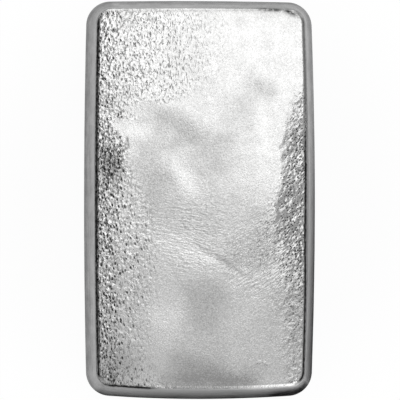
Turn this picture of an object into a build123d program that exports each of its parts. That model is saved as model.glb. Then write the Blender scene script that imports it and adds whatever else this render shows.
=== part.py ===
"""Cast silver bar: one solid, poured into an open mould and turned out with its mould face up.

The bar lies on its pour face. Its four walls lean inwards by the mould's draft, bow outwards in plan
and meet in round corners. The arris around the mould face is a small radius, where the metal did not
fill the corner of the mould, and the rim around the pour face is the larger radius of the meniscus.

Frame: millimetres, +Z up out of the mould face, +Y along the bar towards its head, and the origin on
the floor under the middle of the bar.
"""

import os
from math import radians, tan

from build123d import *

# Driving dimensions, in millimetres and degrees
bar_length = 82.0  # from crown to crown of the two ends, at the widest level
bar_width = 47.65  # from crown to crown of the two sides, at the widest level
bar_height = 8.2  # from the pour face to the mould face
wall_draft = 17.0  # lean of every wall from upright
left_bow = 0.55  # rise of the wall at -X above the chord between its corners
right_bow = 0.85  # rise of the wall at +X
head_bow = 0.3  # rise of the wall at +Y
foot_bow = 1.05  # rise of the wall at -Y
face_corner_radius = 3.0  # corners of the mould face in plan
arris_radius = 1.0  # edge between the mould face and the walls
rim_radius = 1.4  # edge between the walls and the pour face

# The rim's radius takes the sharp foot off the walls, so that foot starts outside the widest level
rim_loss = rim_radius * (1 / tan(radians(90 - wall_draft) / 2) - 1)
half_width = bar_width / 2 + rim_loss
half_length = bar_length / 2 + rim_loss

# The corners open out from the mould face to the floor by as much as the walls lean
wall_run = bar_height * tan(radians(wall_draft))
floor_corner_radius = face_corner_radius + wall_run

# Crowns of the four bowed walls on the floor, and the corners where they would meet if left sharp
left_crown = (-half_width, 0)
right_crown = (half_width, 0)
head_crown = (0, half_length)
foot_crown = (0, -half_length)
head_left = (-half_width + left_bow, half_length - head_bow)
head_right = (half_width - right_bow, half_length - head_bow)
foot_left = (-half_width + left_bow, -half_length + foot_bow)
foot_right = (half_width - right_bow, -half_length + foot_bow)

with BuildPart() as silver_bar:
    with BuildSketch(Plane.XY) as floor_outline:
        with BuildLine():
            ThreePointArc(foot_right, right_crown, head_right)
            ThreePointArc(head_right, head_crown, head_left)
            ThreePointArc(head_left, left_crown, foot_left)
            ThreePointArc(foot_left, foot_crown, foot_right)
        make_face()
        fillet(floor_outline.vertices(), radius=floor_corner_radius)
    extrude(amount=bar_height, taper=wall_draft)
    mould_face = silver_bar.faces().sort_by(Axis.Z)[-1]
    fillet(mould_face.edges(), radius=arris_radius)
    pour_face = silver_bar.faces().sort_by(Axis.Z)[0]
    fillet(pour_face.edges(), radius=rim_radius)

silver_bar.part.label = "silver_bar"
os.makedirs("parts", exist_ok=True)
export_step(silver_bar.part, "parts/silver_bar.step")

print("size in mm", silver_bar.part.bounding_box().size)
print("volume in mm3", round(silver_bar.part.volume, 1))
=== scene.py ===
"""Cast silver bar: the dressed skin of the bar, its studio and its camera.

The bar is one casting, poured into an open mould and turned out with its mould face up. The solid gives its
sizes. This script lays a dense closed skin over them and works the cast relief into it: coarse pebbling
along three edges, soft flow tilts over the middle, a crease, fine ripples and a satin skin on the walls.

Frame: metres, +Z out of the mould face, +Y towards the head of the bar, origin on the floor under its middle.
"""

import logging
import math
from dataclasses import asdict, dataclass, field
from enum import Enum
from typing import Union

import bpy
import numpy as np
from mathutils import Matrix, Vector, noise


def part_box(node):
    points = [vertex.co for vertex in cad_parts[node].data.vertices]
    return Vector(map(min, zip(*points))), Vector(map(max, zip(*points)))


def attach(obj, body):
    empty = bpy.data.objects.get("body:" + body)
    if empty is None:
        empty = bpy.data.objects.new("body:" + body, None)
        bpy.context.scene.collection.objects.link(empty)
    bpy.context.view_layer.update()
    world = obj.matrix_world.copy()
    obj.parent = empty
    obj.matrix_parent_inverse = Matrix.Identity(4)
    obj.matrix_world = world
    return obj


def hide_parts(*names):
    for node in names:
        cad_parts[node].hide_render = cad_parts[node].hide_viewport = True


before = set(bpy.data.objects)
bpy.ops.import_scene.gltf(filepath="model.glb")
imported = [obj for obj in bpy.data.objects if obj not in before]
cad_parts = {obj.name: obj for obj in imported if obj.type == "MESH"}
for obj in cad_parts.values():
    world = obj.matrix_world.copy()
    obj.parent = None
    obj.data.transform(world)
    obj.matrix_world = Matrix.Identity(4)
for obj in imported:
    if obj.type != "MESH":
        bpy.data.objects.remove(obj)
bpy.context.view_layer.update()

MM = 0.001
FLOW_SEED = 2
SENSOR = 36.0

Socket = bpy.types.NodeSocket
Value = Union[float, int, Socket]
Triple = Union[tuple, Socket]

log = logging.getLogger("silver_bar")


class Side(Enum):
    """The four walls of the bar, counter-clockwise from its foot."""

    FOOT = 0
    RIGHT = 1
    HEAD = 2
    LEFT = 3


class Mark(str, Enum):
    """Names of the values that the skin's mesh carries at its points."""

    TURN = "turn"
    DROP = "drop"
    LEFT = "pebble_left"
    HEAD = "pebble_head"
    RIGHT = "pebble_right"
    RIPPLE = "ripple"
    FAN = "fan"
    SWELL = "swell"
    UNDER = "under"
    PIT = "pit"
    # Painted shade and painted highlights along the arris, the creases and the corners.
    SMUDGE = "smudge"
    # Painted dark reflection along the arris.
    TARNISH = "tarnish"
    # Painted shade and painted light of the face, partly dull and clean metal.
    FILM = "film"


class Kind(str, Enum):
    """Blender's names for the sockets of a node group."""

    NUMBER = "NodeSocketFloat"
    PLACE = "NodeSocketVector"
    SHAPE = "NodeSocketGeometry"
    FINISH = "NodeSocketMaterial"


class NodeWriter:
    """Adds nodes to one tree and links them, for shader and geometry trees alike."""

    def __init__(self, tree: bpy.types.NodeTree) -> None:
        """Keeps the tree that is written to, and notes whether it makes geometry."""
        self.tree = tree
        self.shapes = tree.bl_idname == "GeometryNodeTree"
        self.marks = {}
        self.spot = None

    def add(self, kind: str, **settings: object) -> bpy.types.Node:
        """Adds one node.

        Args:
            kind: Blender's name for the node type.
            settings: Properties of the node to set.

        Returns:
            The new node.
        """
        node = self.tree.nodes.new(kind)
        for name, value in settings.items():
            setattr(node, name, value)
        return node

    def feed(self, target: Socket, value: object) -> None:
        """Links a socket to an input, or sets the input to a plain value.

        Args:
            target: Input that is fed.
            value: Socket or plain value.
        """
        if isinstance(value, bpy.types.NodeSocket):
            self.tree.links.new(value, target)
        else:
            target.default_value = value

    def fill(self, node: bpy.types.Node, values: dict) -> bpy.types.Node:
        """Feeds several inputs of a node.

        Args:
            node: Node that is fed.
            values: Socket or plain value for each input, by its name or number.

        Returns:
            The same node.
        """
        for name, value in values.items():
            self.feed(node.inputs[name], value)
        return node

    def math(self, operation: str, first: Value, second: Value = 0.0, clamp: bool = False) -> Socket:
        """Adds a Math node.

        Args:
            operation: Blender's name for the operation.
            first: First value or socket.
            second: Second value or socket.
            clamp: Whether the result is held between 0 and 1.

        Returns:
            The result's socket.
        """
        node = self.add("ShaderNodeMath", operation=operation, use_clamp=clamp)
        return self.fill(node, {0: first, 1: second}).outputs[0]

    def fold(self, operation: str, *terms: Value) -> Socket:
        """Joins several values by one operation, one Math node after another.

        Args:
            operation: Blender's name for the operation.
            terms: Values or sockets, in order.

        Returns:
            The result's socket.
        """
        result = terms[0]
        for term in terms[1:]:
            result = self.math(operation, result, term)
        return result

    def total(self, *terms: Value) -> Socket:
        """Adds up several values."""
        return self.fold("ADD", *terms)

    def product(self, *terms: Value) -> Socket:
        """Multiplies several values."""
        return self.fold("MULTIPLY", *terms)

    def most(self, *terms: Value) -> Socket:
        """Gives the largest of several values."""
        return self.fold("MAXIMUM", *terms)

    def held(self, *terms: Value) -> Socket:
        """Multiplies two values and holds the product between 0 and 1."""
        return self.math("MULTIPLY", *terms, clamp=True)

    def centred(self, value: Value) -> Socket:
        """Moves a value that runs from 0 to 1 so that it runs about 0."""
        return self.math("SUBTRACT", value, 0.5)

    def vector(self, operation: str, first: Triple, second: Triple) -> Socket:
        """Joins two vectors by one operation."""
        node = self.add("ShaderNodeVectorMath", operation=operation)
        return self.fill(node, {0: first, 1: second}).outputs[0]

    def scaled(self, vector: Triple, factor: Value) -> Socket:
        """Multiplies a vector by one number."""
        node = self.add("ShaderNodeVectorMath", operation="SCALE")
        return self.fill(node, {0: vector, "Scale": factor}).outputs[0]

    def length(self, vector: Triple) -> Socket:
        """Measures a vector."""
        node = self.add("ShaderNodeVectorMath", operation="LENGTH")
        return self.fill(node, {0: vector}).outputs["Value"]

    def turned(self, vector: Triple, angle: Value) -> Socket:
        """Turns a vector about the upright."""
        node = self.add("ShaderNodeVectorRotate", rotation_type="Z_AXIS")
        return self.fill(node, {"Vector": vector, "Angle": angle}).outputs[0]

    def step(self, value: Value, low: Value, high: Value, start: Value = 0.0, end: Value = 1.0) -> Socket:
        """Adds a smooth step.

        Args:
            value: Value that is stepped.
            low: Value at which the step starts.
            high: Value at which the step ends.
            start: Result below the step.
            end: Result above the step.

        Returns:
            The result's socket.
        """
        node = self.add("ShaderNodeMapRange", interpolation_type="SMOOTHSTEP")
        values = {"Value": value, "From Min": low, "From Max": high, "To Min": start, "To Max": end}
        return self.fill(node, values).outputs[0]

    def mix(self, factor: Value, first: Value, second: Value) -> Socket:
        """Blends two numbers by a factor."""
        node = self.add("ShaderNodeMix", data_type="FLOAT")
        return self.fill(node, {0: factor, 2: first, 3: second}).outputs[0]

    def mix_colour(self, factor: Value, first: Triple, second: Triple) -> Socket:
        """Blends two colours by a factor."""
        node = self.add("ShaderNodeMix", data_type="RGBA")
        return self.fill(node, {0: factor, 6: first, 7: second}).outputs[2]

    def noise_node(self, vector: Triple, scale: Value, detail: float, rough: float) -> bpy.types.Node:
        """Adds a soft noise.

        Args:
            vector: Place at which the noise is read.
            scale: Waves per unit of the place.
            detail: Number of finer layers.
            rough: Strength of each finer layer.

        Returns:
            The noise node, with its value first and its colour second.
        """
        node = self.add("ShaderNodeTexNoise", noise_dimensions="3D")
        return self.fill(node, {"Vector": vector, "Scale": scale, "Detail": detail, "Roughness": rough})

    def noise(self, vector: Triple, scale: Value, detail: float = 1.0, rough: float = 0.5) -> Socket:
        """Gives a soft noise as a value from 0 to 1."""
        return self.noise_node(vector, scale, detail, rough).outputs[0]

    def wave(self, vector: Triple, scale: Value, detail: float = 1.0, rough: float = 0.5) -> Socket:
        """Gives a soft noise as a value about 0."""
        return self.centred(self.noise(vector, scale, detail, rough))

    def stirred(self, place: Socket, scale: float, detail: float, reach: float) -> Socket:
        """Moves a place about by a soft noise.

        Args:
            place: Place to move.
            scale: Waves per unit of the place.
            detail: Number of finer layers.
            reach: How far the noise moves it.

        Returns:
            The moved place.
        """
        colour = self.noise_node(place, scale, detail, 0.5).outputs[1]
        move = self.vector("SUBTRACT", colour, (0.5, 0.5, 0.5))
        return self.vector("ADD", place, self.scaled(move, reach))

    def cells(self, vector: Triple, scale: Value) -> bpy.types.NodeOutputs:
        """Adds a flat cell pattern and gives its outputs."""
        node = self.add("ShaderNodeTexVoronoi", feature="F1", voronoi_dimensions="2D")
        return self.fill(node, {"Vector": vector, "Scale": scale}).outputs

    def bump(self, height: Socket, strength: float, distance: float) -> Socket:
        """Makes a bumped normal from a height."""
        node = self.add("ShaderNodeBump")
        return self.fill(node, {"Strength": strength, "Distance": distance, "Height": height}).outputs[0]

    def group(self, tree: bpy.types.NodeTree, values: dict) -> bpy.types.NodeOutputs:
        """Places a node group, feeds its inputs by name and gives its outputs."""
        kind = "GeometryNodeGroup" if self.shapes else "ShaderNodeGroup"
        return self.fill(self.add(kind, node_tree=tree), values).outputs

    def place(self) -> Socket:
        """Reads the place on the piece in millimetres, once for each tree.

        Returns:
            The place's socket.
        """
        if self.spot is None:
            if self.shapes:
                metres = self.add("GeometryNodeInputPosition").outputs[0]
            else:
                metres = self.add("ShaderNodeTexCoord").outputs["Object"]
            self.spot = self.scaled(metres, 1.0 / MM)
        return self.spot

    def mark(self, mark: Mark) -> Socket:
        """Reads one of the skin's marks, once for each tree.

        Args:
            mark: Mark to read.

        Returns:
            The mark's socket.
        """
        if mark not in self.marks:
            if self.shapes:
                node = self.add("GeometryNodeInputNamedAttribute", data_type="FLOAT")
                self.marks[mark] = self.fill(node, {"Name": mark.value}).outputs[0]
            else:
                settings = {"attribute_type": "GEOMETRY", "attribute_name": mark.value}
                self.marks[mark] = self.add("ShaderNodeAttribute", **settings).outputs["Fac"]
        return self.marks[mark]

    def pebbled(self) -> Socket:
        """Adds up the strengths of the three pebbled zones."""
        return self.total(self.mark(Mark.LEFT), self.mark(Mark.HEAD), self.mark(Mark.RIGHT))

    def tipped(self, low: float, high: float, start: float = 0.0, end: float = 1.0) -> Socket:
        """Steps with the skin's turn from level, between two angles in degrees."""
        return self.step(self.mark(Mark.TURN), math.radians(low), math.radians(high), start, end)


class GroupWriter(NodeWriter):
    """Makes a node group with named sockets and writes to it."""

    def __init__(self, name: str, kind: str, inputs: dict, outputs: dict) -> None:
        """Makes the empty group.

        Args:
            name: Name of the group.
            kind: Blender's name for the type of tree.
            inputs: Kind of each input by its name, in order.
            outputs: Kind of each output by its name.
        """
        super().__init__(bpy.data.node_groups.new(name, kind))
        for way, sockets in (("INPUT", inputs), ("OUTPUT", outputs)):
            for label, socket in sockets.items():
                self.tree.interface.new_socket(label, in_out=way, socket_type=socket.value)
        self.given = self.add("NodeGroupInput").outputs
        self.result = self.add("NodeGroupOutput").inputs

    def cell_place(self) -> Socket:
        """Turns the group's Place by its Lean, and measures it in its Width and Length.

        Returns:
            The place's socket.
        """
        sizes = self.add("ShaderNodeCombineXYZ")
        self.fill(sizes, {"X": self.given["Width"], "Y": self.given["Length"], "Z": 1.0})
        return self.vector("DIVIDE", self.turned(self.given["Place"], self.given["Lean"]), sizes.outputs[0])


def new_piece(name: str, points: list, faces: list) -> bpy.types.Object:
    """Makes a mesh and links its object to the scene.

    Args:
        name: Name of the object and its mesh.
        points: Its points.
        faces: Its faces, as lists of point indices.

    Returns:
        The new object.
    """
    mesh = bpy.data.meshes.new(name)
    mesh.from_pydata(points, [], faces)
    mesh.update()
    piece = bpy.data.objects.new(name, mesh)
    bpy.context.collection.objects.link(piece)
    return piece


@dataclass(frozen=True)
class Arc:
    """One arc of the outline, run counter-clockwise, with its middle inside the bar."""

    centre: tuple
    radius: float
    start: float
    end: float

    def run(self, inset: float) -> float:
        """Gives the arc's length once the outline is drawn in by an inset."""
        return (self.radius - inset) * (self.end - self.start)


def circle_through(first: tuple, second: tuple, third: tuple) -> tuple:
    """Finds the circle through three points.

    Args:
        first: First point, x and y.
        second: Second point.
        third: Third point.

    Returns:
        The circle's centre and its radius.
    """
    rows = np.array([np.subtract(second, first), np.subtract(third, first)])
    right = 0.5 * (rows**2).sum(1)
    offset = np.linalg.solve(rows, right)
    return tuple(np.add(first, offset)), float(np.hypot(*offset))


def fillet_centre(first: tuple, second: tuple, radius: float, near: tuple) -> tuple:
    """Finds the middle of a round that lies inside two circles and touches both.

    Args:
        first: Centre and radius of one circle.
        second: Centre and radius of the other.
        radius: Radius of the round.
        near: Sharp corner that the round takes off.

    Returns:
        The round's middle, x and y.
    """
    (ax, ay), big_a = first
    (bx, by), big_b = second
    reach_a = big_a - radius
    reach_b = big_b - radius
    gap = math.hypot(bx - ax, by - ay)
    along = (reach_a**2 - reach_b**2 + gap**2) / (2 * gap)
    across = math.sqrt(reach_a**2 - along**2)
    ux = (bx - ax) / gap
    uy = (by - ay) / gap
    options = []
    for sign in (1, -1):
        options.append((ax + along * ux - sign * across * uy, ay + along * uy + sign * across * ux))
    return min(options, key=lambda point: math.dist(point, near))


@dataclass(frozen=True)
class BarForm:
    """Plain form of the casting, with the solid's own rules, in metres and radians."""

    length: float
    width: float
    height: float
    draft: float = math.radians(17.0)
    left_bow: float = 0.55 * MM
    right_bow: float = 0.85 * MM
    head_bow: float = 0.3 * MM
    foot_bow: float = 1.05 * MM
    face_corner: float = 3.0 * MM
    arris: float = 1.0 * MM
    rim: float = 1.4 * MM
    cad_height: float = 8.2 * MM

    @property
    def rim_inset(self) -> float:
        """How far the pour face's edge lies inside the sharp foot of the walls."""
        return self.rim / math.tan((math.pi / 2 - self.draft) / 2)

    @property
    def face_inset(self) -> float:
        """How far the mould face's edge lies inside the sharp foot of the walls."""
        lean = self.height * math.tan(self.draft)
        return lean + self.arris * math.tan((math.pi / 2 - self.draft) / 2)

    def arcs(self) -> dict:
        """Draws the sharp foot of the walls, with its corners rounded.

        Returns:
            Each side's three arcs: the half corner before it, its wall and the half corner after it.
        """
        loss = self.rim_inset - self.rim
        half_width = self.width / 2 + loss
        half_length = self.length / 2 + loss
        corner_radius = self.face_corner + self.cad_height * math.tan(self.draft)
        foot_left = (-half_width + self.left_bow, -half_length + self.foot_bow)
        foot_right = (half_width - self.right_bow, -half_length + self.foot_bow)
        head_right = (half_width - self.right_bow, half_length - self.head_bow)
        head_left = (-half_width + self.left_bow, half_length - self.head_bow)
        circles = {
            Side.FOOT: circle_through(foot_left, (0.0, -half_length), foot_right),
            Side.RIGHT: circle_through(foot_right, (half_width, 0.0), head_right),
            Side.HEAD: circle_through(head_right, (0.0, half_length), head_left),
            Side.LEFT: circle_through(head_left, (-half_width, 0.0), foot_left),
        }
        corners = {Side.FOOT: foot_left, Side.RIGHT: foot_right, Side.HEAD: head_right, Side.LEFT: head_left}
        order = list(Side)
        middles = {}
        for index, side in enumerate(order):
            before = order[index - 1]
            middles[side] = fillet_centre(circles[before], circles[side], corner_radius, corners[side])
        facing = {Side.FOOT: -math.pi / 2, Side.RIGHT: 0.0, Side.HEAD: math.pi / 2, Side.LEFT: math.pi}
        result = {}
        for index, side in enumerate(order):
            after = order[(index + 1) % len(order)]
            centre, radius = circles[side]
            start = self.bearing(centre, middles[side], facing[side])
            end = self.bearing(centre, middles[after], facing[side])
            result[side] = (
                Arc(middles[side], corner_radius, facing[side] - math.pi / 4, start),
                Arc(centre, radius, start, end),
                Arc(middles[after], corner_radius, end, facing[side] + math.pi / 4),
            )
        return result

    @staticmethod
    def bearing(centre: tuple, point: tuple, near: float) -> float:
        """Gives the direction from a centre to a point, as the angle nearest to a given one."""
        angle = math.atan2(point[1] - centre[1], point[0] - centre[0])
        return near + math.remainder(angle - near, 2 * math.pi)

    def stations(self, side: Side, shares: np.ndarray) -> tuple:
        """Places points along one side of the sharp foot.

        Args:
            side: Side to walk, counter-clockwise, from corner middle to corner middle.
            shares: Places along the side at the mould face's edge, from 0 to 1.

        Returns:
            The points and their outward directions, two arrays of x and y.
        """
        arcs = self.arcs()[side]
        runs = [arc.run(self.face_inset) for arc in arcs]
        ends = np.cumsum([0.0] + runs)
        walked = shares * ends[-1]
        points = np.zeros((len(shares), 2))
        normals = np.zeros((len(shares), 2))
        for index, arc in enumerate(arcs):
            last = index == len(arcs) - 1
            here = (walked >= ends[index]) & ((walked < ends[index + 1]) | last)
            part = (walked[here] - ends[index]) / runs[index]
            angle = arc.start + part * (arc.end - arc.start)
            normals[here] = np.stack([np.cos(angle), np.sin(angle)], 1)
            points[here] = np.array(arc.centre) + arc.radius * normals[here]
        return points, normals

    def profile(self, arris_rings: int, wall_rings: int, rim_rings: int) -> np.ndarray:
        """Walks the section of a wall, from the mould face's edge down to the pour face's edge.

        Args:
            arris_rings: Steps over the arris.
            wall_rings: Steps down the wall.
            rim_rings: Steps round the rim.

        Returns:
            One row a step, without the face's edge itself: inset, height, turn of the surface from level.
        """
        rows = []
        for angle in np.linspace(math.pi / 2, self.draft, arris_rings + 1)[1:]:
            inset = self.face_inset - self.arris * math.cos(angle)
            level = self.height - self.arris + self.arris * math.sin(angle)
            rows.append((inset, level, math.pi / 2 - angle))
        top = np.array(rows[-1])
        foot_inset = self.rim_inset - self.rim * math.cos(self.draft)
        foot_level = self.rim + self.rim * math.sin(self.draft)
        foot = np.array((foot_inset, foot_level, math.pi / 2 - self.draft))
        for part in np.linspace(0.0, 1.0, wall_rings + 1)[1:]:
            rows.append(tuple(top + part * (foot - top)))
        for angle in np.linspace(self.draft, -math.pi / 2, rim_rings + 1)[1:]:
            inset = self.rim_inset - self.rim * math.cos(angle)
            level = self.rim + self.rim * math.sin(angle)
            rows.append((inset, level, math.pi / 2 - angle))
        return np.array(rows)


@dataclass(frozen=True)
class Patch:
    """A soft oval patch of the skin, seen from above (millimetres, degrees)."""

    name: str
    x: float
    y: float
    along: float
    across: float
    turn: float

    def shares(self, x: np.ndarray, y: np.ndarray) -> tuple:
        """Measures places from the patch's middle, in its own reach along and across.

        Args:
            x: Places across the bar.
            y: Places along the bar.

        Returns:
            The shares along and across the patch.
        """
        turn = math.radians(self.turn)
        right = x - self.x
        up = y - self.y
        along = (right * math.cos(turn) + up * math.sin(turn)) / self.along
        across = (up * math.cos(turn) - right * math.sin(turn)) / self.across
        return along, across


@dataclass(frozen=True)
class Tilt(Patch):
    """A patch of the mould face that leans one way, left by the metal's flow (millimetres, degrees)."""

    facing: float
    slope: float

    def lift(self, x: np.ndarray, y: np.ndarray) -> np.ndarray:
        """Gives the patch's height over the face.

        Args:
            x: Places across the bar.
            y: Places along the bar.

        Returns:
            Heights in millimetres.
        """
        along, across = self.shares(x, y)
        window = np.exp(-0.5 * (along**2 + across**2))
        facing = math.radians(self.facing)
        down = (x - self.x) * math.cos(facing) + (y - self.y) * math.sin(facing)
        return -math.tan(math.radians(self.slope)) * down * window


@dataclass(frozen=True)
class PaintedTonePatch(Patch):
    """A soft patch of painted colour, darker where its strength is above zero and lighter where it is below:
    painted shade and painted light, in places also dull and clean metal.
    """

    strength: float

    def tone(self, x: np.ndarray, y: np.ndarray) -> np.ndarray:
        """Gives the patch's strength over the skin."""
        along, across = self.shares(x, y)
        return self.strength * np.exp(-0.5 * (along**4 + across**2))


@dataclass(frozen=True)
class Window:
    """A soft window on the face, strongest in its middle (millimetres)."""

    x: float
    y: float
    wide: float
    tall: float
    strength: float = 1.0
    squareness: int = 2

    def at(self, x: np.ndarray, y: np.ndarray) -> np.ndarray:
        """Gives the window's strength at places on the face."""
        across = ((x - self.x) / self.wide) ** self.squareness
        return self.strength * np.exp(-across - ((y - self.y) / self.tall) ** 2)


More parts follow.
